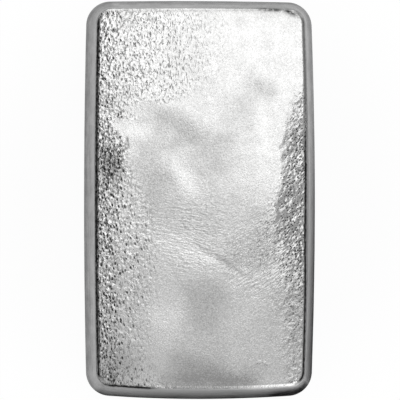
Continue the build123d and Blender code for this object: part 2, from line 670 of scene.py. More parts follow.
@dataclass(frozen=True)
class Relief:
    """Where the mould face is pebbled, rippled and tilted, and where painted shade and painted light lie on
    it, in millimetres on the face.

    A border is a list of pairs, and so is a value that changes along the bar: the left, right and strip
    borders and all such values go by y, and the head border goes by x.
    """

    left_border: tuple = (
        (38.0, -8.0), (20.4, -10.9), (17.3, -14.6), (15.2, -18.1), (13.2, -16.3), (11.1, -15.2),
        (7.0, -15.2), (3.9, -12.0), (-2.3, -8.6), (-10.5, -7.6), (-18.7, -8.4), (-27.0, -9.4),
        (-33.2, -9.4), (-36.0, -7.5), (-38.9, -3.5),
    )
    head_border: tuple = (
        (-21.0, 17.0), (-10.9, 19.8), (-7.4, 18.7), (-3.3, 20.4), (0.8, 22.0), (3.5, 23.7),
        (5.6, 27.6), (7.2, 38.5), (8.0, 60.0),
    )
    right_border: tuple = (
        (24.5, 21.0), (20.4, 18.7), (13.2, 17.3), (6.0, 16.5), (-0.2, 13.2), (-6.4, 10.8),
        (-12.6, 10.5), (-18.7, 13.4), (-29.0, 15.4), (-38.0, 16.8),
    )
    left_drop: tuple = (
        (38.0, 0.03), (16.0, 0.03), (9.0, 0.06), (0.0, 0.03), (-20.0, 0.05), (-38.0, 0.12),
    )
    right_strength: tuple = (
        (24.0, 0.4), (14.0, 0.8), (8.0, 1.0), (-9.0, 1.0), (-19.0, 0.5), (-38.0, 0.35),
    )
    strip_border: tuple = (
        (22.0, 19.4), (19.4, 17.3), (15.2, 16.7), (10.1, 16.3), (6.0, 16.6), (3.9, 16.7),
        (1.9, 16.1), (-0.2, 15.2), (-6.0, 14.8), (-12.0, 15.0), (-20.0, 15.0), (-38.0, 17.0),
    )
    strip_slope: tuple = (
        (25.0, 0.3), (19.0, 3.4), (12.0, 6.2), (0.0, 6.4), (-9.0, 6.0), (-18.0, 2.8),
        (-38.0, 2.0),
    )
    strip_bend: float = 0.5
    strip_film: float = 0.12
    half_face: float = 20.6
    left_roll: float = 4.5
    lobe_place: float = 11.5
    lobe_reach: float = 5.0
    lobe_gain: float = 2.5
    left_fade: tuple = (-1.0, 3.0)
    left_inner: tuple = (3.0, 7.0)
    left_rim: tuple = (15.8, 19.2)
    left_thinning: tuple = (12.0, 20.0)
    left_shares: tuple = (0.5, 0.15, 0.55, 0.4)
    left_hollow: Window = Window(-18.4, 7.4, 3.0, 4.2, 1.1)
    left_chain: Window = Window(-15.3, 16.8, 2.6, 0.75, 0.8, 4)
    head_fade: tuple = (-1.5, 2.5)
    head_thinning: tuple = (-16.0, 9.0)
    head_thinned: float = 0.85
    right_fade: tuple = (-1.5, 1.0)
    right_inner: tuple = (-1.5, 3.0)
    right_rim: tuple = (14.8, 18.5)
    right_shares: tuple = (0.48, 0.65)
    right_cluster: Window = Window(12.4, -34.0, 1.7, 0.9, 0.7)
    right_corner: Window = Window(19.0, -37.4, 1.3, 0.7, 0.8)
    ripple_window: Window = Window(-1.0, -8.0, 8.0, 7.5)
    ripple_end: tuple = (2.0, 9.0)
    fan_window: Window = Window(11.0, -12.0, 7.0, 7.5, 1.3)
    fan_start: tuple = (1.0, 8.0)
    swirl_level: float = 0.37
    broad_swirl: tuple = (7.0, 0.9)
    tilt_swirl: tuple = (2.2, 0.5)
    film_swirl: tuple = (2.2, 0.7)
    strip_swirl: tuple = (1.3, 0.45)
    clean_share: float = 0.37
    tilts: tuple = (
        Tilt("left hollow", -18.3, 8.0, 1.9, 2.3, -15.0, 215.0, 2.5),
        Tilt("plume", -15.2, 14.3, 3.8, 1.5, -8.0, 50.0, 1.1),
        Tilt("upper band", -4.0, 14.8, 6.0, 2.4, -32.0, 240.0, 1.2),
        Tilt("middle streak", -3.6, 4.4, 4.2, 1.7, -54.0, 50.0, 1.3),
        Tilt("right shoulder", 12.6, 11.5, 8.0, 3.0, 92.0, 50.0, 0.6),
        Tilt("head right", 12.0, 22.9, 3.2, 1.9, -30.0, 235.0, 1.6),
        Tilt("crease", 0.6, -12.0, 2.4, 0.9, -28.0, 64.0, 2.2),
        Tilt("crease shadow", 3.9, -11.8, 2.8, 0.5, -36.0, 244.0, 2.2),
        Tilt("crease left", -5.4, -9.7, 3.5, 1.8, -20.0, 64.0, 1.0),
        Tilt("arc edge", 6.4, -7.0, 4.2, 0.9, 27.0, 64.0, 0.6),
        Tilt("right crease", 11.9, -15.2, 3.2, 0.8, 30.0, 90.0, 1.0),
        Tilt("lower middle", 1.2, -19.8, 3.6, 3.8, 0.0, 244.0, 1.2),
        Tilt("lower left light", -8.2, -24.9, 5.8, 3.4, 88.0, 64.0, 1.3),
        Tilt("foot", -1.0, -36.0, 4.8, 2.6, 0.0, 258.0, 2.6),
        Tilt("foot left corner", -18.0, -34.0, 3.4, 3.4, 0.0, 225.0, 3.0),
    )
    # Patches of the face's tone: those above zero are painted shade and those below painted light, standing
    # in for what the metal mirrors, partly dull and clean metal.
    films: tuple = (
        PaintedTonePatch("left hollow film", -18.6, 7.8, 2.6, 2.3, -15.0, 1.0),
        PaintedTonePatch("plume top film", -17.6, 20.2, 2.2, 0.9, 0.0, 0.4),
        PaintedTonePatch("left hollow foot film", -18.8, 3.5, 2.5, 2.6, 0.0, 0.75),
        PaintedTonePatch("left edge light", -19.4, 31.0, 1.7, 4.5, 0.0, -1.5),
        PaintedTonePatch("left edge light below", -19.6, 14.6, 1.6, 2.6, 0.0, -0.6),
        PaintedTonePatch("left light", -17.0, -7.5, 4.0, 4.6, 0.0, -0.7),
        PaintedTonePatch("left foot light", -17.5, -21.0, 3.4, 5.5, 0.0, -0.4),
        PaintedTonePatch("crease end film", 4.9, -12.8, 1.8, 1.2, -40.0, 0.35),
        PaintedTonePatch("foot left light", -11.2, -37.2, 2.2, 1.4, 0.0, -0.7),
        PaintedTonePatch("head right dull film", 13.0, 37.4, 5.0, 1.3, 0.0, 0.25),
        PaintedTonePatch("head left dull film", -15.6, 37.2, 2.0, 2.0, 0.0, 0.25),
        PaintedTonePatch("right edge film", 19.8, -17.0, 1.8, 8.0, 0.0, 0.5),
        PaintedTonePatch("right edge upper film", 20.4, 12.5, 1.3, 2.5, 0.0, 0.1),
        PaintedTonePatch("left inner light", -12.0, -9.2, 3.2, 3.6, 0.0, -0.35),
        PaintedTonePatch("upper band tail film", 4.7, 12.4, 1.8, 1.8, 0.0, 0.42),
        PaintedTonePatch("upper band middle film", -3.3, 12.4, 1.7, 1.7, 0.0, 0.42),
        PaintedTonePatch("foot edge right film", 7.4, -37.0, 3.4, 1.3, 0.0, 0.55),
        PaintedTonePatch("foot left corner film", -19.5, -36.8, 1.5, 1.5, 0.0, 0.4),
        PaintedTonePatch("lower middle foot film", 0.8, -25.2, 2.4, 1.4, 0.0, 0.3),
        PaintedTonePatch("head middle film", 0.8, 37.0, 2.0, 1.5, 0.0, 0.2),
        PaintedTonePatch("middle film", -2.0, 12.4, 7.5, 3.2, -20.0, 0.15),
        PaintedTonePatch("arc film", 12.6, -3.2, 3.0, 1.8, 20.0, 0.35),
        PaintedTonePatch("right middle film", 9.0, 12.6, 2.4, 3.0, 0.0, 0.28),
        PaintedTonePatch("ripple film", -1.0, -6.4, 9.0, 3.2, 0.0, 0.42),
        PaintedTonePatch("right ripple film", 13.0, -8.8, 2.6, 4.2, 0.0, 0.4),
        PaintedTonePatch("foot edge film", 2.6, -37.7, 9.6, 1.6, 0.0, 0.75),
        PaintedTonePatch("upper band film", -7.4, 16.7, 3.0, 1.5, -10.0, 0.5),
        PaintedTonePatch("upper band end film", 1.4, 10.8, 5.6, 2.3, -38.0, 0.48),
        PaintedTonePatch("left of streak film", -10.0, 5.6, 3.8, 3.0, -30.0, 0.6),
        PaintedTonePatch("below streak film", 2.9, -1.2, 5.4, 2.8, 8.0, 0.35),
        PaintedTonePatch("head right film", 12.0, 22.6, 3.2, 2.0, -25.0, 0.6),
        PaintedTonePatch("head right end film", 7.6, 18.8, 3.6, 2.0, 60.0, 0.55),
        PaintedTonePatch("below arc film", 8.0, -12.6, 4.0, 2.8, 10.0, 0.3),
        PaintedTonePatch("lower middle film", 0.6, -20.8, 3.8, 4.6, 0.0, 0.55),
        PaintedTonePatch("foot film", -0.8, -34.3, 5.3, 3.1, 0.0, 0.82),
        PaintedTonePatch("foot left film", -16.0, -33.0, 2.4, 3.0, 20.0, 0.5),
        PaintedTonePatch("plume light", -14.8, 14.5, 3.2, 1.2, -14.0, -0.3),
        PaintedTonePatch("streak light", -3.6, 4.4, 4.0, 1.6, -54.0, -0.4),
        PaintedTonePatch("crease light", -4.4, -11.8, 5.6, 2.6, -14.0, -0.5),
        PaintedTonePatch("lower left light film", -8.6, -25.2, 3.4, 5.6, 0.0, -0.6),
        PaintedTonePatch("right crease light", 13.0, -15.6, 2.6, 1.1, 22.0, -0.35),
        PaintedTonePatch("right shoulder light", 13.0, 11.1, 2.8, 7.5, 0.0, -0.15),
        PaintedTonePatch("plume end film", -7.4, 12.2, 2.6, 2.2, -20.0, 0.45),
        PaintedTonePatch("streak foot film", -9.0, -0.6, 3.6, 3.0, 0.0, 0.5),
        PaintedTonePatch("right of streak film", 1.6, 5.8, 3.2, 2.2, -45.0, 0.4),
        PaintedTonePatch("lower right film", 16.0, -22.5, 4.2, 5.0, 0.0, 0.35),
        PaintedTonePatch("head inner film", -3.4, 27.4, 5.0, 5.0, 0.0, 0.3),
        PaintedTonePatch("foot right light", 15.5, -38.0, 4.0, 1.0, 0.0, -0.8),
    )
    # Painted shade and painted highlights: dark lines along the arris, the creases and the lobe, dark
    # corners, and light streaks on the arris and the head wall.
    smudges: tuple = (
        PaintedTonePatch("head left corner", -19.2, 39.5, 0.9, 0.45, 25.0, 0.5),
        PaintedTonePatch("head lip", -3.0, 38.45, 17.0, 0.16, 0.3, 0.2),
        PaintedTonePatch("head right lip", 12.0, 38.8, 6.0, 0.45, -2.0, 0.28),
        PaintedTonePatch("head left streak", -17.8, 40.2, 1.0, 0.3, 0.0, -0.2),
        PaintedTonePatch("head right edge", 14.0, 38.9, 2.2, 0.3, -4.0, 0.8),
        PaintedTonePatch("head right corner", 18.6, 38.2, 1.4, 0.5, -25.0, 1.0),
        PaintedTonePatch("foot right arris", 15.7, -38.3, 5.3, 0.4, 4.0, -1.0),
        PaintedTonePatch("foot left arris", -14.8, -38.5, 4.3, 0.15, -3.9, 2.2),
        PaintedTonePatch("foot left streak", -17.9, -37.2, 1.0, 0.2, 80.0, 1.2),
        PaintedTonePatch("crease line", 0.6, -10.2, 2.6, 0.16, -24.0, 0.28),
        PaintedTonePatch("crease line end", 4.9, -13.0, 2.2, 0.16, -42.0, 0.2),
        PaintedTonePatch("foot right corner", 17.4, -39.85, 2.8, 0.38, 10.0, 1.0),
        PaintedTonePatch("foot right corner end", 21.2, -38.2, 1.3, 0.4, 50.0, 0.8),
        PaintedTonePatch("lobe right", -15.1, 11.5, 1.0, 0.16, 100.0, 0.9),
        PaintedTonePatch("lobe foot", -15.9, 9.9, 0.7, 0.2, 30.0, 0.9),
    )

    @staticmethod
    def ramp(value: np.ndarray, low: float, high: float) -> np.ndarray:
        """Gives a smooth step from 0 at low to 1 at high."""
        part = np.clip((value - low) / (high - low), 0.0, 1.0)
        return part * part * (3.0 - 2.0 * part)

    def tipped(self, turn: np.ndarray, low: float, high: float) -> np.ndarray:
        """Gives a smooth step of the skin's turn from level, between two angles in degrees."""
        return self.ramp(turn, math.radians(low), math.radians(high))

    @staticmethod
    def along(border: tuple, places: np.ndarray) -> np.ndarray:
        """Reads a border that is given as pairs, at any places."""
        pairs = np.array(sorted(border))
        return np.interp(places, pairs[:, 0], pairs[:, 1])

    def left(self, x: np.ndarray, y: np.ndarray) -> np.ndarray:
        """Gives the strength of the pebbling along the left edge.

        Args:
            x: Places across the bar.
            y: Places along the bar.

        Returns:
            Strengths from 0 up.
        """
        outer, inner, rim, thinned = self.left_shares
        lobe = np.exp(-(((y - self.lobe_place) / self.lobe_reach) ** 4))
        inside = (self.along(self.left_border, y) - x) * (1.0 + self.lobe_gain * lobe)
        fade = self.ramp(inside, *self.left_fade)
        graded = outer * fade + inner * self.ramp(inside, *self.left_inner)
        graded = graded * (1.0 - thinned * self.ramp(y, *self.left_thinning))
        edge = rim * self.ramp(-x, *self.left_rim) * fade
        return graded + edge + self.left_hollow.at(x, y) + self.left_chain.at(x, y)

    def head(self, x: np.ndarray, y: np.ndarray) -> np.ndarray:
        """Gives the strength of the pebbling at the head."""
        fade = self.ramp(y - self.along(self.head_border, x), *self.head_fade)
        return fade * (1.0 - self.head_thinned * self.ramp(x, *self.head_thinning))

    def right(self, x: np.ndarray, y: np.ndarray) -> np.ndarray:
        """Gives the strength of the pebbling along the right edge.

        Args:
            x: Places across the bar.
            y: Places along the bar.

        Returns:
            Strengths from 0 up.
        """
        inner, rim = self.right_shares
        inside = x - self.along(self.right_border, y)
        graded = inner * self.ramp(inside, *self.right_inner) + rim * self.ramp(x, *self.right_rim)
        graded = graded * self.ramp(inside, *self.right_fade) * self.along(self.right_strength, y)
        return graded + self.right_cluster.at(x, y) + self.right_corner.at(x, y)

    def ripple(self, x: np.ndarray, y: np.ndarray) -> np.ndarray:
        """Gives the strength of the fine ripples across the middle."""
        return self.ripple_window.at(x, y) * (1.0 - self.ramp(x, *self.ripple_end))

    def fan(self, x: np.ndarray, y: np.ndarray) -> np.ndarray:
        """Gives the strength of the fine ripples that fan out towards the right edge."""
        return self.fan_window.at(x, y) * self.ramp(x, *self.fan_start)

    def stirred(self, x: np.ndarray, y: np.ndarray, size: float, reach: float) -> tuple:
        """Moves places about softly, so that what is drawn on them follows the metal's flow.

        Args:
            x: Places across the bar.
            y: Places along the bar.
            size: Size of the swirls.
            reach: How far they move a place.

        Returns:
            The moved places, across and along.
        """
        spots = ((a / size, b / size, self.swirl_level) for a, b in zip(x, y))
        moves = np.array([noise.noise_vector(spot)[:2] for spot in spots])
        return x + reach * moves[:, 0], y + reach * moves[:, 1]

    def swell(self, x: np.ndarray, y: np.ndarray) -> np.ndarray:
        """Adds up the soft tilts, the rolled left edge and the strip that falls away at the right.

        Args:
            x: Places across the bar.
            y: Places along the bar.

        Returns:
            Heights in millimetres.
        """
        broad = self.stirred(x, y, *self.broad_swirl)
        places = self.stirred(*broad, *self.tilt_swirl)
        height = sum(tilt.lift(*places) for tilt in self.tilts)
        left = np.clip(1.0 - (x + self.half_face) / self.left_roll, 0.0, None)
        ragged = self.stirred(*broad, *self.strip_swirl)
        beyond = ragged[0] - self.along(self.strip_border, ragged[1])
        fall = 0.5 * (beyond + np.sqrt(beyond**2 + self.strip_bend**2))
        slope = np.tan(np.radians(self.along(self.strip_slope, y)))
        return height - self.along(self.left_drop, y) * left**2 - slope * fall

    def smudge(self, x: np.ndarray, y: np.ndarray) -> np.ndarray:
        """Adds up the painted shade and painted highlights on the skin."""
        return sum(smudge.tone(x, y) for smudge in self.smudges)

    def film(self, x: np.ndarray, y: np.ndarray) -> np.ndarray:
        """Adds up the face's patches of painted shade and painted light, partly dull and clean metal, and the
        painted shade of the strip at the right.

        Args:
            x: Places across the bar.
            y: Places along the bar.

        Returns:
            Values above zero where the face is painted darker and below where it is painted lighter.
        """
        broad = self.stirred(x, y, *self.broad_swirl)
        places = self.stirred(*broad, *self.film_swirl)
        # The strip at the right is painted darker too: painted shade on top of its tilt.
        total = sum(film.tone(*places) for film in self.films) + self.strip_film * self.right(x, y)
        return np.where(total > 0.0, total, self.clean_share * total)


@dataclass
class SkinPoints:
    """The skin's points in the order they are laid, with the measures of each, and its faces."""

    points: list = field(default_factory=list)
    turns: list = field(default_factory=list)
    drops: list = field(default_factory=list)
    sides: list = field(default_factory=list)
    flats: list = field(default_factory=list)
    faces: list = field(default_factory=list)
    count: int = 0

    def lay(
        self,
        places: np.ndarray,
        flats: np.ndarray,
        level: float,
        turn: float,
        drop: float,
        sides: Union[float, np.ndarray] = 0.0,
    ) -> np.ndarray:
        """Lays points at one level.

        Args:
            places: Places of the points, x and y.
            flats: Their places on the unwrapped map.
            level: Their height.
            turn: Turn of the surface from level there.
            drop: Distance down the section there.
            sides: How strongly the arris is painted dark at each, as a painted reflection of dark
                surroundings.

        Returns:
            The indices of the points.
        """
        number = len(places)
        self.points.append(np.column_stack([places, np.full(number, level)]))
        self.turns.append(np.full(number, turn))
        self.drops.append(np.full(number, drop))
        self.sides.append(np.full(number, sides))
        self.flats.append(flats)
        self.count += number
        return np.arange(self.count - number, self.count)


@dataclass
class SilverBar:
    """The cast bar: its dense closed skin, and the marks that the relief and the finishes read."""

    form: BarForm
    relief: Relief
    columns: int = 184
    rows: int = 360
    arris_rings: int = 8
    wall_rings: int = 9
    rim_rings: int = 6
    edge_density: float = 1.6
    density_power: float = 1.5
    density_steps: int = 2001
    pour_rings: tuple = (0.5 * MM, 1.3 * MM)
    map_gap: float = 16 * MM
    map_margin: float = 0.01
    face_end: tuple = (30.0, 62.0)
    upper_end: tuple = (80.0, 100.0)
    under_turn: float = 179.0
    # Where the arris is painted dark, as a painted reflection of dark surroundings.
    tarnish_start: tuple = (6.0, 19.0)
    tarnish_end: tuple = (44.0, 56.0)
    tarnish_facing: tuple = (0.8, 0.98)
    tarnish_thinning: tuple = (8.0, 14.0)
    tarnish_thinned: float = 0.45
    corner_across: tuple = (0.3, 0.7)
    corner_along: tuple = (0.0, 0.2)
    name: str = "cast_bar"

    def shares(self, count: int, edge_density: float) -> np.ndarray:
        """Divides a side from 0 to 1, more finely towards both ends.

        Args:
            count: Number of divisions.
            edge_density: How many times as fine the ends are as the middle.

        Returns:
            The places of the divisions.
        """
        even = np.linspace(0.0, 1.0, self.density_steps)
        density = 1.0 + (edge_density - 1.0) * np.abs(2.0 * even - 1.0) ** self.density_power
        walked = np.concatenate([[0.0], np.cumsum(0.5 * (density[1:] + density[:-1]))])
        return np.interp(np.linspace(0.0, walked[-1], count + 1), walked, even)

    def ring(self) -> tuple:
        """Places the stations of every ring.

        Returns:
            Points on the sharp foot, outward directions, and the shares across and along.
        """
        across = self.shares(self.columns, self.edge_density)
        along = self.shares(self.rows, 1.0)
        walks = {
            Side.FOOT: across,
            Side.RIGHT: along,
            Side.HEAD: 1.0 - across[::-1],
            Side.LEFT: 1.0 - along[::-1],
        }
        points = []
        normals = []
        for side in Side:
            place, out = self.form.stations(side, walks[side])
            points.append(place[:-1])
            normals.append(out[:-1])
        return np.concatenate(points), np.concatenate(normals), across, along

    @staticmethod
    def patch(border: np.ndarray, across: np.ndarray, along: np.ndarray) -> np.ndarray:
        """Fills a ring with a grid.

        Args:
            border: The ring's points, counter-clockwise from the corner at the foot and left.
            across: Shares of the divisions across.
            along: Shares of the divisions along.

        Returns:
            The grid's points, column by column.
        """
        columns = len(across) - 1
        rows = len(along) - 1
        foot = border[: columns + 1]
        right = border[columns : columns + rows + 1]
        head = border[columns + rows : 2 * columns + rows + 1][::-1]
        left = np.concatenate([border[2 * columns + rows :], border[:1]])[::-1]
        u = across[:, None, None]
        v = along[None, :, None]
        sides = (1 - v) * foot[:, None] + v * head[:, None] + (1 - u) * left[None] + u * right[None]
        foot_corners = (1 - u) * (1 - v) * foot[0] + u * (1 - v) * foot[-1]
        corners = foot_corners + (1 - u) * v * head[0] + u * v * head[-1]
        return (sides - corners).reshape(-1, 2)

    @staticmethod
    def border_indices(columns: int, rows: int) -> np.ndarray:
        """Lists a grid's border points, counter-clockwise from the corner at the foot and left."""
        grid = np.arange((columns + 1) * (rows + 1)).reshape(columns + 1, rows + 1)
        return np.concatenate([grid[:-1, 0], grid[-1, :-1], grid[:0:-1, -1], grid[0, :0:-1]])

    def build(self) -> bpy.types.Object:
        """Builds the plain skin with its marks, before the relief.

        Returns:
            The new object.
        """
        form = self.form
        foot, out, across, along = self.ring()
        face_edge = foot - form.face_inset * out
        face = self.patch(face_edge, across, along)
        skin = SkinPoints()
        skin.lay(face, face, form.height, 0.0, 0.0)
        skin.faces += self.grid_faces(self.columns, self.rows, 0, False)
        profile = form.profile(self.arris_rings, self.wall_rings, self.rim_rings)
        steps = np.vstack([(form.face_inset, form.height, 0.0), profile])
        walked = np.cumsum(np.hypot(np.diff(steps[:, 0]), np.diff(steps[:, 1])))
        before = self.border_indices(self.columns, self.rows)
        for (inset, level, turn), distance in zip(profile, walked):
            place = foot - inset * out
            sides = self.aside(place[:, 1] / MM, out)
            here = skin.lay(place, face_edge + distance * out, level, turn, distance, sides)
            skin.faces += self.band_faces(before, here)
            before = here
        self.close_below(skin, foot, out, before, walked[-1])
        piece = new_piece(self.name, np.concatenate(skin.points).tolist(), skin.faces)
        self.mark(piece.data, skin)
        self.unwrap(piece.data, np.concatenate(skin.flats))
        return piece

    def aside(self, y: np.ndarray, out: np.ndarray) -> np.ndarray:
        """Gives how strongly the arris is painted dark, a painted reflection of dark surroundings: at the
        left, the right and the right corner by the foot.

        Args:
            y: Places along the bar in millimetres.
            out: Outward directions at those places.

        Returns:
            Values from 0 to 1.
        """
        ramp = self.relief.ramp
        left = ramp(-out[:, 0], *self.tarnish_facing)
        thinned = 1.0 - self.tarnish_thinned * ramp(y, *self.tarnish_thinning)
        right = ramp(out[:, 0], *self.tarnish_facing) * thinned
        corner = ramp(out[:, 0], *self.corner_across) * ramp(-out[:, 1], *self.corner_along)
        return np.maximum(np.maximum(left, right), corner)

    @staticmethod
    def grid_faces(columns: int, rows: int, first: int, under: bool) -> list:
        """Lists the faces of a grid.

        Args:
            columns: Divisions across.
            rows: Divisions along.
            first: Index of the grid's first point.
            under: Whether the grid is seen from below.

        Returns:
            Faces as lists of point indices.
        """
        grid = first + np.arange((columns + 1) * (rows + 1)).reshape(columns + 1, rows + 1)
        quads = np.stack([grid[:-1, :-1], grid[1:, :-1], grid[1:, 1:], grid[:-1, 1:]], -1).reshape(-1, 4)
        return (quads[:, ::-1] if under else quads).tolist()

    @staticmethod
    def band_faces(upper: np.ndarray, lower: np.ndarray) -> list:
        """Joins two rings of as many points by quads."""
        quads = np.stack([upper, lower, np.roll(lower, -1), np.roll(upper, -1)], -1)
        return quads.tolist()

    @staticmethod
    def halving_faces(outer: np.ndarray, inner: np.ndarray) -> list:
        """Joins a ring to one inside it that has half as many points.

        Args:
            outer: Indices of the outer ring.
            inner: Indices of the inner ring.

        Returns:
            Faces as lists of point indices.
        """
        even = outer[0::2]
        odd = outer[1::2]
        after = np.roll(even, -1)
        following = np.roll(inner, -1)
        near = np.stack([even, inner, odd], -1)
        middle = np.stack([odd, inner, following], -1)
        far = np.stack([odd, following, after], -1)
        return np.concatenate([near, middle, far]).tolist()

    def close_below(
        self, skin: SkinPoints, foot: np.ndarray, out: np.ndarray, edge: np.ndarray, drop: float
    ) -> None:
        """Closes the pour face with a halving ring and a coarser grid.

        Args:
            skin: Skin that is added to.
            foot: Stations on the sharp foot.
            out: Outward directions of the stations.
            edge: Indices of the ring at the pour face's edge.
            drop: Distance down the section there.
        """
        beside = np.array((self.form.width + self.map_gap, 0.0))
        outer, inner = (foot - (self.form.rim_inset + reach) * out for reach in self.pour_rings)
        ring = outer[::2]
        here = skin.lay(ring, ring + beside, 0.0, math.pi, drop)
        skin.faces += self.halving_faces(edge, here)
        columns = self.columns // 4
        rows = self.rows // 4
        across = self.shares(columns, self.edge_density)
        grid = self.patch(inner[::4], across, self.shares(rows, 1.0))
        first = skin.count
        skin.lay(grid, grid + beside, 0.0, math.pi, drop)
        skin.faces += self.halving_faces(here, first + self.border_indices(columns, rows))
        skin.faces += self.grid_faces(columns, rows, first, True)

    def mark(self, mesh: bpy.types.Mesh, skin: SkinPoints) -> None:
        """Writes the relief's strengths and the section's measures to the mesh's points.

        Args:
            mesh: Mesh of the plain skin.
            skin: Its points and their measures.
        """
        relief = self.relief
        turn = np.concatenate(skin.turns)
        places = np.concatenate(skin.points) / MM
        x = places[:, 0]
        y = places[:, 1]
        face = 1.0 - relief.tipped(turn, *self.face_end)
        upper = 1.0 - relief.tipped(turn, *self.upper_end)
        arris = relief.tipped(turn, *self.tarnish_start) * (1.0 - relief.tipped(turn, *self.tarnish_end))
        values = {
            Mark.TURN: turn,
            Mark.DROP: np.concatenate(skin.drops) / MM,
            Mark.LEFT: relief.left(x, y) * face,
            Mark.HEAD: relief.head(x, y) * face,
            Mark.RIGHT: relief.right(x, y) * face,
            Mark.RIPPLE: relief.ripple(x, y) * face,
            Mark.FAN: relief.fan(x, y) * face,
            Mark.SWELL: relief.swell(x, y) * face,
            Mark.UNDER: (turn > math.radians(self.under_turn)).astype(float),
            Mark.SMUDGE: relief.smudge(x, y) * upper,
            Mark.FILM: relief.film(x, y) * face,
            Mark.TARNISH: np.concatenate(skin.sides) * arris,
        }
        for name, numbers in values.items():
            layer = mesh.attributes.new(name.value, "FLOAT", "POINT")
            layer.data.foreach_set("value", numbers.astype(np.float32))

    def unwrap(self, mesh: bpy.types.Mesh, flats: np.ndarray) -> None:
        """Lays the skin out flat: the face with its walls folded up around it, and the pour face beside it.

        Args:
            mesh: Mesh of the plain skin.
            flats: Flat place of each point, in metres.
        """
        low = flats.min(0)
        span = (flats.max(0) - low).max()
        places = self.map_margin + (1.0 - 2.0 * self.map_margin) * (flats - low) / span
        corners = np.zeros(len(mesh.loops), np.int32)
        mesh.loops.foreach_get("vertex_index", corners)
        layer = mesh.uv_layers.new(name="OFBake", do_init=False)
        layer.uv.foreach_set("vector", places[corners].astype(np.float32).ravel())


@dataclass(frozen=True)
class Zone:
    """One pebbled zone of the face: its mark, the input that leans it, its seed, size and strength."""

    mark: Mark
    lean: str
    seed_shift: float
    fineness: float
    strength: float


ZONES = (
    Zone(Mark.LEFT, "Left Lean", 0.0, 1.1, 1.9),
    Zone(Mark.HEAD, "Left Lean", 3.0, 1.3, 0.95),
    Zone(Mark.RIGHT, "Right Lean", 6.0, 1.3, 1.75),
)


@dataclass(frozen=True)
class PebbleField:
    """One field of pebbles and pits as a node group, measured in its own pebbles."""

    seed_step: tuple = (3.7, 5.3, 1.9)
    finer_shift: tuple = (7.1, 2.3, 0.0)
    pit_shift: tuple = (11.3, 4.1, 0.0)
    stir_scale: float = 0.5
    stir_reach: float = 1.2
    gain: float = 3.0
    finer_scale: float = 2.1
    billow_power: float = 0.8
    coarse_share: float = 0.5
    billow_share: float = 0.7
    finer_share: float = 0.3
    pit_scale: float = 1.2
    pit_choice: tuple = (0.4, 0.8)
    pit_edge: tuple = (0.05, 0.36)

    def group(self) -> bpy.types.NodeTree:
        """Builds the group.

        Returns:
            The group, with Relief and Pit outputs.
        """
        inputs = {"Place": Kind.PLACE, **dict.fromkeys(("Lean", "Width", "Length", "Seed"), Kind.NUMBER)}
        outputs = dict.fromkeys(("Relief", "Pit"), Kind.NUMBER)
        write = GroupWriter("pebble field", "GeometryNodeTree", inputs, outputs)
        offset = write.scaled(self.seed_step, write.given["Seed"])
        place = write.vector("ADD", write.cell_place(), offset)
        warped = write.stirred(place, self.stir_scale, detail=2.0, reach=self.stir_reach)
        coarse = write.product(write.wave(warped, scale=1.0, detail=2.0), self.gain)
        shifted = write.vector("ADD", warped, self.finer_shift)
        finer = write.product(write.wave(shifted, self.finer_scale, detail=1.0), self.gain)
        billow = write.math("POWER", write.math("ABSOLUTE", coarse), self.billow_power)
        relief = write.total(
            write.product(coarse, self.coarse_share),
            write.product(billow, self.billow_share),
            write.product(finer, self.finer_share),
        )
        spots = write.cells(write.vector("ADD", warped, self.pit_shift), self.pit_scale)
        chosen = write.fill(write.add("ShaderNodeSeparateXYZ"), {0: spots["Color"]}).outputs[0]
        hole = write.step(spots["Distance"], *self.pit_edge, start=1.0, end=0.0)
        write.feed(write.result["Relief"], relief)
        write.feed(write.result["Pit"], write.product(hole, write.step(chosen, *self.pit_choice)))
        return write.tree


